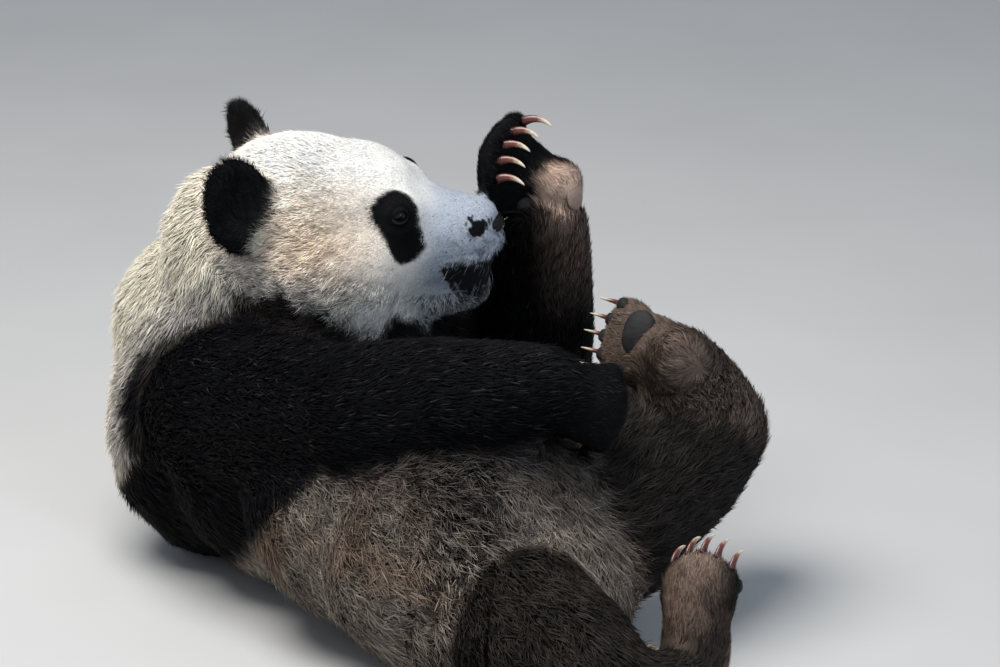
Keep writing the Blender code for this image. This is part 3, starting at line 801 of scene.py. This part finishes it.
def finish_of(name, constants):
    """A new material with these constants, with helpers that add a node and that feed the shader."""
    material = bpy.data.materials.new(name)
    material.use_nodes = True
    tree = material.node_tree
    shader = tree.nodes["Principled BSDF"]
    for socket, value in constants.items():
        shader.inputs[socket].default_value = value

    def add(kind, links=(), **settings):
        node = tree.nodes.new(kind)
        for field, value in settings.items():
            if field in node.inputs:
                node.inputs[field].default_value = value
            else:
                setattr(node, field, value)
        for socket, source in links:
            tree.links.new(source, node.inputs[socket])
        return node

    def feed(socket, source):
        tree.links.new(source, shader.inputs[socket])

    return material, add, feed


def add_noise(add, scale, detail):
    """A noise on the piece's own coordinates."""
    place = add("ShaderNodeTexCoord")
    return add("ShaderNodeTexNoise", [("Vector", place.outputs["Object"])], Scale=scale, Detail=detail)


def vary(add, noise, low, high, **more):
    """A number that a noise moves from low to high."""
    ends = {"To Min": low, "To Max": high, **more}
    return add("ShaderNodeMapRange", [("Value", noise.outputs["Fac"])], **ends).outputs["Result"]


def add_bump(add, feed, height, strength, distance):
    bump = add("ShaderNodeBump", [("Height", height)], Strength=strength, Distance=distance)
    feed("Normal", bump.outputs["Normal"])


def streak(add, feed, noise, tones, gloss):
    """Lets a noise vary the brightness of the coat's colour, and the roughness."""
    colour = add("ShaderNodeAttribute", attribute_name="coat_colour")
    tone = vary(add, noise, *tones, **{"From Min": 0.25, "From Max": 0.75})
    shaded = add("ShaderNodeVectorMath", [(0, colour.outputs["Color"]), ("Scale", tone)], operation="SCALE")
    feed("Base Color", shaded.outputs["Vector"])
    feed("Roughness", vary(add, noise, *gloss))


def coat_finish():
    """Locks: the animal's markings, streaked along each lock as single hairs are."""
    material, add, feed = finish_of("fur", {"Roughness": 0.70, "Specular IOR Level": 0.10})
    strand = add("ShaderNodeAttribute", attribute_name="strand")
    stretch = add("ShaderNodeMapping", [("Vector", strand.outputs["Vector"])], Scale=(7.0, 1.3, 9.0))
    hairs = add("ShaderNodeTexNoise", [("Vector", stretch.outputs["Vector"])], Scale=1.0, Detail=2.0)
    streak(add, feed, hairs, (0.76, 1.24), (0.78, 0.60))
    add_bump(add, feed, hairs.outputs["Fac"], 0.25, 0.0004)
    return material


def skin_finish():
    """The undercoat: duller than the locks over it, and darkened by a noise to as little as 0.7 of their
    colour, a painted shade under the locks.
    """
    material, add, feed = finish_of("undercoat", {"Roughness": 0.85, "Specular IOR Level": 0.12})
    down = add_noise(add, 420.0, 3.0)
    streak(add, feed, down, (0.70, 1.0), (0.92, 0.75))
    add_bump(add, feed, down.outputs["Fac"], 0.7, 0.0010)
    return material


def leather_finish(name, dark, light, scale, roughness, along=False):
    """Bare skin: pebbled and mottled, or with its light part where the along attribute is 1."""
    constants = {"Roughness": roughness, "Specular IOR Level": 0.12 if along else 0.22}
    material, add, feed = finish_of(name, constants)
    place = add("ShaderNodeTexCoord")
    pebbles = add("ShaderNodeTexVoronoi", [("Vector", place.outputs["Object"])], Scale=scale)
    patches = add_noise(add, 90.0, 4.0)
    share = add("ShaderNodeAttribute", attribute_name="along") if along else patches
    blend = add("ShaderNodeMix", data_type="RGBA", links=[("Factor", share.outputs["Fac"])])
    ends = {"A": dark, "B": light}
    for socket in blend.inputs:
        if socket.type == "RGBA" and socket.name in ends:
            socket.default_value = (*ends[socket.name], 1)
    feed("Base Color", [socket for socket in blend.outputs if socket.type == "RGBA"][0])
    feed("Roughness", vary(add, patches, roughness - 0.10, roughness + 0.15))
    add_bump(add, feed, pebbles.outputs["Distance"], 0.45, 0.0006)
    return material


def ramp_of(add, noise, share, stops):
    """A colour that runs through the stops with the along attribute, unsettled by a share of a noise."""
    along = add("ShaderNodeAttribute", attribute_name="along")
    ends = [(0, noise.outputs["Fac"]), (2, along.outputs["Fac"])]
    shift = add("ShaderNodeMath", ends, operation="MULTIPLY_ADD")
    shift.inputs[1].default_value = share
    ramp = add("ShaderNodeValToRGB", [("Fac", shift.outputs["Value"])])
    marks = ramp.color_ramp.elements
    for mark, (position, colour) in zip(marks, (stops[0], stops[-1])):
        mark.position, mark.color = position, (*colour, 1)
    for position, colour in stops[1:-1]:
        marks.new(position).color = (*colour, 1)
    return ramp.outputs["Color"]


def claw_finish():
    """Horn: reddish brown where it is thick at the root, cream at the tip, with fine long streaks."""
    constants = {"Roughness": 0.28, "Coat Weight": 0.25, "Coat Roughness": 0.20}
    material, add, feed = finish_of("claw_horn", constants)
    streaks = add_noise(add, 260.0, 3.0)
    stops = ((0.18, (0.045, 0.012, 0.010)), (0.64, (0.15, 0.042, 0.030)), (0.95, (0.66, 0.57, 0.45)))
    feed("Base Color", ramp_of(add, streaks, 0.30, stops))
    feed("Roughness", vary(add, streaks, 0.20, 0.42))
    add_bump(add, feed, streaks.outputs["Fac"], 0.25, 0.0003)
    return material


def eye_finish():
    """A dark brown eye: pupil, iris and a darker rim, wet."""
    material, add, feed = finish_of("wet_eye", {"Roughness": 0.05, "IOR": 1.376})
    fibres = add_noise(add, 900.0, 2.0)
    pupil, edge = (0.17, (0.002, 0.002, 0.003)), (0.52, (0.002, 0.002, 0.003))
    iris = ((0.24, (0.006, 0.003, 0.002)), (0.44, (0.010, 0.005, 0.004)))
    stops = (pupil, *iris, edge, (0.70, (0.030, 0.025, 0.026)))
    feed("Base Color", ramp_of(add, fibres, 0.06, stops))
    feed("Roughness", vary(add, fibres, 0.03, 0.07))
    return material


def wear(obj, material):
    obj.data.materials.clear()
    obj.data.materials.append(material)
    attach(obj, "root")


# Eyes, nose, lips, pads and claws ------------------------


def set_along(mesh, values):
    mesh.attributes.new("along", "FLOAT", "POINT").data.foreach_set("value", np.asarray(values, np.float32))


def mirrored(point, side):
    return Vector((point[0], point[1] * side, point[2]))


def aim(place, direction, up=(0, 0, 1)):
    """The placing whose z axis runs along the direction, in the head's frame."""
    z_axis = Vector(direction).normalized()
    x_axis = Vector(up).cross(z_axis).normalized()
    y_axis = z_axis.cross(x_axis)
    return HEAD @ Matrix.Translation(place) @ Matrix((x_axis, y_axis, z_axis)).transposed().to_4x4()


def start_ball(name, radius, segments, rings):
    bpy.ops.object.select_all(action="DESELECT")
    bpy.ops.mesh.primitive_uv_sphere_add(segments=segments, ring_count=rings, radius=radius)
    obj = bpy.context.object
    obj.name = name
    obj.data.name = name
    return obj


def make_eye(side):
    """An eyeball with the cornea's bulge, looking along its z axis before it is placed."""
    eye = start_ball("eyeball_left" if side > 0 else "eyeball_right", EYE_RADIUS, 48, 32)
    points = points_of(eye)
    off = np.hypot(points[:, 0], points[:, 1])
    front = points[:, 2] > 0
    points[:, 2] += 0.0011 * (1 - step(off, 0.001, 0.0078)) * front
    set_along(eye.data, np.where(front, off / EYE_RADIUS, 1.0))
    move_points(eye.data, points)
    eye.data.transform(aim(mirrored(EYE_PLACE, side), mirrored(GAZE, side)))
    bpy.ops.object.shade_smooth()
    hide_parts("eye_left" if side > 0 else "eye_right")
    return eye


def almond(points):
    """Below 1 inside the lids' opening, which is as wide and high as the two numbers, and above 1 outside."""
    return (points[:, 0] / 0.0074) ** 2 + (points[:, 1] / 0.0056) ** 2


def make_lids(side):
    """The two lids as one ring of bare skin round the eyeball, open in the shape of an almond."""
    lids = start_ball("lids_left" if side > 0 else "lids_right", EYE_RADIUS + 0.0006, 72, 60)
    points = points_of(lids)
    with edit_mode("VERT"):
        bpy.ops.mesh.select_all(action="DESELECT")
    gone = (points[:, 2] > 0) & (almond(points) < 1) | (points[:, 2] < -0.004)
    lids.data.vertices.foreach_set("select", gone)
    with edit_mode():
        bpy.ops.mesh.delete(type="VERT")
    points = points_of(lids)
    ring = np.where(points[:, 2] > 0, np.sqrt(almond(points)), 3)
    rim = bell(ring - 1.12, 0.16) * 0.0009
    fold = bell(ring - 1.50, 0.12) * 0.0009 * (points[:, 1] > 0)
    pouch = bell(ring - 1.60, 0.14) * 0.0006 * (points[:, 1] < 0)
    off = np.hypot(points[:, 0], points[:, 1])
    places = points + unit(points) * (rim + fold + pouch)[:, None]
    outside = (points[:, 2] > 0) & (off > 0.0082)
    flare = eye_seat(off) - 0.0010 - 1.3 * np.maximum(off - 0.0095, 0)
    places[:, 2] = np.where(outside, np.maximum(places[:, 2] * (off < 0.0102), flare), places[:, 2])
    move_points(lids.data, places)
    set_along(lids.data, bell(ring - 1.55, 0.30) * step(-points[:, 1], 0.0, 0.004))
    modify(lids, "SMOOTH", factor=0.5, iterations=3)
    modify(lids, "SOLIDIFY", thickness=0.0011, offset=1.0)
    modify(lids, "SUBSURF", levels=1, render_levels=1)
    lids.data.transform(aim(mirrored(EYE_PLACE, side), mirrored(GAZE, side)))
    only(lids)
    bpy.ops.object.shade_smooth()
    return lids


def make_nose():
    """The nose pad: a broad rounded wedge with two comma-shaped nostrils and a groove between them."""
    nose = start_ball("nose_pad", 1.0, 96, 64)
    points = points_of(nose)
    points *= PAD_SIZE
    points[:, 1] *= 1 + 9.0 * points[:, 2]
    points[:, 0] -= 0.15 * np.maximum(points[:, 2], 0)
    front = step(points[:, 0], 0.0, 0.008)
    for side in (1, -1):
        hole = np.array([0.0125, 0.0105 * side, -0.0010])
        reach = np.linalg.norm((points - hole) * np.array([0.7, 1.0, 1.35]), axis=1)
        points[:, 0] -= 0.0080 * bell(reach, 0.0046) * front
        tail = np.array([0.0070, 0.0200 * side, -0.0030])
        reach = np.linalg.norm((points - tail) * np.array([0.8, 0.9, 2.1]), axis=1)
        points[:, 1] -= 0.0042 * side * bell(reach, 0.0040)
        wing = away_from(points, [0.0095, 0.0170 * side, 0.0045])
        points += unit(points) * (0.0016 * bell(wing, 0.0050))[:, None]
    groove = bell(points[:, 1], 0.0012) * step(-points[:, 2], -0.003, 0.006)
    points[:, 0] -= 0.0022 * groove * front
    points += PAD_PLACE
    move_points(nose.data, points)
    nose.data.transform(HEAD)
    bpy.ops.object.shade_smooth()
    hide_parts("nose")
    return nose


def make_lips(tree):
    """The dark edge of the lower lip, which follows the mouth round the muzzle."""
    middle = Vector((MOUTH_BACK + 0.004, 0, MOUTH_HEIGHT - 0.0030))
    spots = []
    for degrees in range(-98, 99, 7):
        angle = math.radians(degrees)
        heading = HEAD.to_3x3() @ Vector((math.cos(angle), math.sin(angle), 0.0))
        found = tree.ray_cast(HEAD @ middle, heading)[0]
        spots.append(found - heading * 0.0012 + Vector((0, 0, 0.010 * step(math.cos(angle), 0.82, 1.0))))
    curve = bpy.data.curves.new("lips", "CURVE")
    curve.dimensions = "3D"
    curve.bevel_depth = 0.0022
    curve.bevel_resolution = 3
    curve.use_fill_caps = True
    line = curve.splines.new("NURBS")
    line.points.add(len(spots) - 1)
    for index, (point, spot) in enumerate(zip(line.points, spots)):
        point.co = (*spot, 1)
        point.radius = 0.35 + 0.65 * math.sin(math.pi * index / (len(spots) - 1)) ** 0.5
    line.use_endpoint_u = True
    line.order_u = 4
    only(new_object("lips", curve))
    bpy.ops.object.convert(target="MESH")
    bpy.ops.object.shade_smooth()
    return bpy.context.object


CLAW_BEND = math.radians(75)  # from root to tip
HAND_CLAW = (0.039, 0.0062)  # length past the fur and half thickness
FOOT_CLAW = (0.029, 0.0056)
CLAW_ROOT = 0.004  # hidden in the skin


def make_first_claw():
    """A straight claw of length 1 and half thickness 1 that starts at the origin and runs along x."""
    bpy.ops.object.select_all(action="DESELECT")
    bpy.ops.mesh.primitive_cylinder_add(vertices=14, radius=1, depth=1, end_fill_type="NGON")
    claw = bpy.context.object
    claw.name = "first_claw"
    claw.rotation_euler = (0, math.radians(90), 0)
    bpy.ops.object.transform_apply(location=False, rotation=True, scale=False)
    only(claw)
    with edit_mode():
        bpy.ops.mesh.select_all(action="SELECT")
        bpy.ops.transform.translate(value=(0.5, 0, 0))
        bpy.ops.mesh.select_mode(type="EDGE")
        bpy.ops.mesh.select_all(action="DESELECT")
    for edge in claw.data.edges:
        a, b = (claw.data.vertices[i].co for i in edge.vertices)
        edge.select = abs(a.x - b.x) > 0.5
    with edit_mode():
        bpy.ops.mesh.subdivide(number_cuts=15)
    return claw


def bend_claw(first, name, root, towards, down, length, thickness):
    """A copy of the first claw, bent, tapered and placed."""
    claw = new_object(name, first.data.copy())
    towards = Vector(towards).normalized()
    down = (Vector(down) - towards * Vector(down).dot(towards)).normalized()
    side = towards.cross(down)
    points = points_of(claw)
    share = np.clip(points[:, 0], 0, 1)
    angle = CLAW_BEND * share
    radius = length / CLAW_BEND
    size = thickness * np.maximum(1 - share, 0.0) ** 0.62 * (1 - 0.15 * share) + 0.0003
    axes = [np.array(axis) for axis in (root, towards, down, side)]
    out = -np.sin(angle)[:, None] * axes[1] + np.cos(angle)[:, None] * axes[2]
    middle = axes[0] + radius * (np.sin(angle)[:, None] * axes[1] + (1 - np.cos(angle))[:, None] * axes[2])
    under = np.where(points[:, 2] < 0, 0.95, 1.10)
    middle += out * (-points[:, 2] * size * under)[:, None] + axes[3] * (points[:, 1] * size * 0.70)[:, None]
    move_points(claw.data, middle)
    set_along(claw.data, share)
    only(claw)
    with edit_mode():
        bpy.ops.mesh.select_all(action="SELECT")
        bpy.ops.mesh.normals_make_consistent(inside=False)
    bpy.ops.object.shade_smooth()
    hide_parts(name)
    return claw


def frame_of(along, across):
    """Three square directions: along the digits, from first digit to fifth, and the side that grips."""
    along = Vector(along).normalized()
    across = (Vector(across) - along * Vector(across).dot(along)).normalized()
    return along, across, across.cross(along)


def foot_frame(heel, toes, sole):
    """Three square directions: along the toes, across the sole, and the side that the sole faces."""
    along = (toes - heel).normalized()
    sole = (Vector(sole) - along * Vector(sole).dot(along)).normalized()
    return along, sole.cross(along), sole


def row_of_five(middle, across, along, spacing, arc):
    return [middle + across * spacing * n - along * arc * n * n for n in (-2, -1, 0, 1, 2)]


def row_of_toes(middle, across, along):
    return row_of_five(middle, across, along, 0.0225, 0.0040)


def finger_ends(base, hand, curl):
    along, across, palm = hand
    first = row_of_five(base + along * 0.092, across, along, 0.021, 0.0030)
    reach = along * 0.024 * (1 - curl) + palm * 0.026 * curl
    return [point + reach + palm * 0.020 - along * (0.030 * curl - 0.012) for point in first]


RIGHT_HAND = frame_of((0.95, 0.12, -0.26), (0.12, 0.42, 0.90))
LEFT_HAND = frame_of((-0.86, -0.09, 0.50), (-0.16, 0.30, 0.94))
FEET = {
    "right": foot_frame(HEEL["right"], TOES["right"], (0.60, 0.75, 0.20)),
    "left": foot_frame(HEEL["left"], TOES["left"], (-0.78, -0.45, 0.35)),
}
TOE_PAD = (0.0085, 0.0100, 0.006)


def make_claws():
    first = make_first_claw()
    along, across, palm = RIGHT_HAND
    rows = [
        ("hand_right", finger_ends(HAND["right"], RIGHT_HAND, 0.75), palm + across * 0.4, -along, 0.006),
        ("hand_left", finger_ends(HAND["left"], LEFT_HAND, 0.6), (0.80, -0.20, 0.56), (0, -0.2, -1), 0.006),
    ]
    for side, (along, across, sole) in FEET.items():
        ends = row_of_toes(HEEL[side] + along * 0.174 + sole * 0.004, across, along)
        rows.append((f"foot_{side}", ends, along * 0.95 + sole * 0.10, sole, 0.010))
    claws = []
    for part, ends, towards, down, ahead in rows:
        length, thickness = (HAND_CLAW if "hand" in part else FOOT_CLAW)
        for number, end in enumerate(ends, 1):
            root = end + Vector(towards).normalized() * (ahead - CLAW_ROOT)
            shape = (root, towards, down, length + CLAW_ROOT, thickness)
            claws.append(bend_claw(first, f"claw_{part}_{number}", *shape))
    bpy.data.objects.remove(first)
    return claws


def make_pad(name, tree, place, sideways, facing, sizes):
    """A bare pad of leather, half sunk in the skin where a line from outside meets it."""
    facing = Vector(facing).normalized()
    spot = tree.ray_cast(Vector(place) + facing * 0.08, -facing)[0]
    z_axis = facing
    x_axis = (Vector(sideways) - z_axis * Vector(sideways).dot(z_axis)).normalized()
    turn = Matrix((x_axis, z_axis.cross(x_axis), z_axis)).transposed().to_4x4()
    pad = start_ball(name, 1.0, 40, 24)
    points = points_of(pad)
    points = np.sign(points) * np.abs(points) ** 0.9 * np.array(sizes)
    points[:, 2] -= 4.0 * (points[:, 0] ** 2 + points[:, 1] ** 2)
    points += 0.0006 * wander(points, 0.012, 8)
    move_points(pad.data, points)
    pad.data.transform(Matrix.Translation(spot) @ turn)
    bpy.ops.object.shade_smooth()
    return pad, np.array(spot), max(sizes[:2])


def make_pads(tree):
    """The pads of the hands and soles, with their places and sizes."""
    pads = []
    along, across, palm = RIGHT_HAND
    low = HAND["right"] + along * 0.056 - across * 0.030
    pads.append(make_pad("thumb_pad_right", tree, low, along, palm, (0.017, 0.013, 0.006)))
    low, facing = at(0.034, 0.262, 0.470), (0.05, -0.94, 0.25)
    pads.append(make_pad("thumb_pad_left", tree, low, (1, 0, 0.2), facing, (0.015, 0.010, 0.004)))
    wrist, facing = at(0.097, 0.258, 0.484), (0.62, -0.75, 0.24)
    pads.append(make_pad("wrist_pad_left", tree, wrist, (0.1, 0, 1), facing, (0.020, 0.013, 0.005)))
    for side, (along, across, sole) in FEET.items():
        place, facing = HEEL[side] + along * 0.118, sole
        if side == "left":
            place, facing = at(0.180, 0.045, 0.370), (-0.40, -0.84, 0.36)
        pads.append(make_pad(f"sole_pad_{side}", tree, place, across, facing, (0.030, 0.021, 0.007)))
        for number, end in enumerate(row_of_toes(HEEL[side] + along * 0.160, across, along), 1):
            pads.append(make_pad(f"toe_pad_{side}_{number}", tree, end, across, sole, TOE_PAD))
    return pads


# Making --------------------------------------------------

skin = join_flesh()
refine_face(skin)
owner = nearest_node(numbers(skin.data.vertices, "co"))
coat_fields, skin_edges = dress(skin)
marks = markings(points_of(skin), skin_edges)
sculpt_face(skin, coat_fields)
skin_lie = comb(skin, skin_edges)
unwrap(skin)
set_colours(skin.data, marks)
skin.name = "skin"
only(skin)
bpy.ops.object.shade_smooth()
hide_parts(*FLESH)

skin_head = in_head(points_of(skin))
for eye_side in (1, -1):
    ahead_of_eye, off_eye = beside_eye(skin_head, eye_side)
    coat_fields[:, 3] *= np.where(ahead_of_eye > EYE_BACK, step(off_eye, 0.0088, 0.0102), 1)
    coat_fields[:, 1] *= np.where(ahead_of_eye > EYE_BACK, 0.45 + 0.55 * step(off_eye, 0.010, 0.022), 1)
coat_fields[:, 3] *= step(ball(skin_head, PAD_PLACE, PAD_SIZE), 1.0, 1.12)

skin_tree = BVHTree.FromPolygons(
    [v.co for v in skin.data.vertices], [list(face.vertices) for face in skin.data.polygons]
)
pads = make_pads(skin_tree)
skin_points = points_of(skin)
for pad, pad_spot, pad_size in pads:
    coat_fields[:, 3] *= step(away_from(skin_points, pad_spot) / pad_size, 0.50, 0.95)
coat = grow_coat(skin, coat_fields, skin_lie, marks)

fur = coat_finish()
for piece in coat:
    wear(piece, fur)
wear(skin, skin_finish())
nose_skin = leather_finish("nose_leather", (0.0025, 0.0025, 0.003), (0.007, 0.007, 0.008), 900.0, 0.27)
lid_tones = (0.0015, 0.0015, 0.002), (0.045, 0.052, 0.072)
lid_skin = leather_finish("lid_skin", *lid_tones, 1200.0, 0.75, along=True)
wear(make_nose(), nose_skin)
wear(make_lips(skin_tree), nose_skin)
wet_eye = eye_finish()
for eye_side in (1, -1):
    wear(make_eye(eye_side), wet_eye)
    wear(make_lids(eye_side), lid_skin)
grey_pad = leather_finish("pad_leather", (0.008, 0.0075, 0.0075), (0.026, 0.024, 0.025), 500.0, 0.62)
pale_pad = leather_finish("bare_wrist", (0.20, 0.14, 0.115), (0.36, 0.26, 0.22), 600.0, 0.62)
for pad, _, _ in pads:
    wear(pad, pale_pad if "wrist" in pad.name else grey_pad)
horn = claw_finish()
for piece in make_claws():
    wear(piece, horn)


# Studio --------------------------------------------------


def make_floor():
    bpy.ops.object.select_all(action="DESELECT")
    bpy.ops.mesh.primitive_plane_add(size=16)
    floor = bpy.context.object
    floor.name = "studio_floor"
    material, add, feed = finish_of("studio_floor", {"Roughness": 0.8})
    feed("Base Color", vary(add, add_noise(add, 3.0, 2.0), 0.50, 0.56))
    floor.data.materials.append(material)


# Each light's place, size in metres, power in watts and colour. All look at the middle of the animal.
LIGHTS = {
    "key": ((-0.9, -0.5, 3.2), 2.2, 135, (1.0, 0.97, 0.92)),
    "eye_light": ((1.8, -3.2, 1.9), 0.42, 26, (0.60, 0.80, 1.0)),
    "fill": ((1.8, -3.2, 1.8), 2.2, 14, (0.93, 0.97, 1.0)),
}
LIT_MIDDLE = Vector((0.0, 0.0, 0.3))


def add_light(name, place, size, power, colour):
    lamp = bpy.data.lights.new(name, "AREA")
    lamp.shape = "DISK"
    lamp.size = size
    lamp.energy = power
    lamp.color = colour
    obj = new_object(name, lamp)
    obj.location = place
    obj.rotation_euler = (LIT_MIDDLE - Vector(place)).to_track_quat("-Z", "Y").to_euler()


def set_studio():
    world = bpy.data.worlds.new("studio")
    bpy.context.scene.world = world
    world.use_nodes = True
    sky = world.node_tree.nodes["Background"].inputs
    sky["Color"].default_value = (0.80, 0.88, 1.0, 1)
    sky["Strength"].default_value = 0.38
    for name, (place, size, power, colour) in LIGHTS.items():
        add_light(name, place, size, power, colour)
    bpy.context.scene.view_settings.view_transform = "Standard"


CAMERA_TILT = math.radians(20)
CAMERA_TARGET = Vector((0.0859, 0.0700, 0.3692))
CAMERA_DISTANCE = 5.208


def set_camera():
    """Looks down from the animal's right."""
    camera = bpy.data.cameras.new("camera")
    camera.lens = 150
    camera.sensor_width = 36
    obj = new_object("camera", camera)
    back = Vector((0, -math.cos(CAMERA_TILT), math.sin(CAMERA_TILT)))
    obj.location = CAMERA_TARGET + back * CAMERA_DISTANCE
    obj.rotation_euler = (-back).to_track_quat("-Z", "Y").to_euler()
    bpy.context.scene.camera = obj


make_floor()
set_studio()
set_camera()
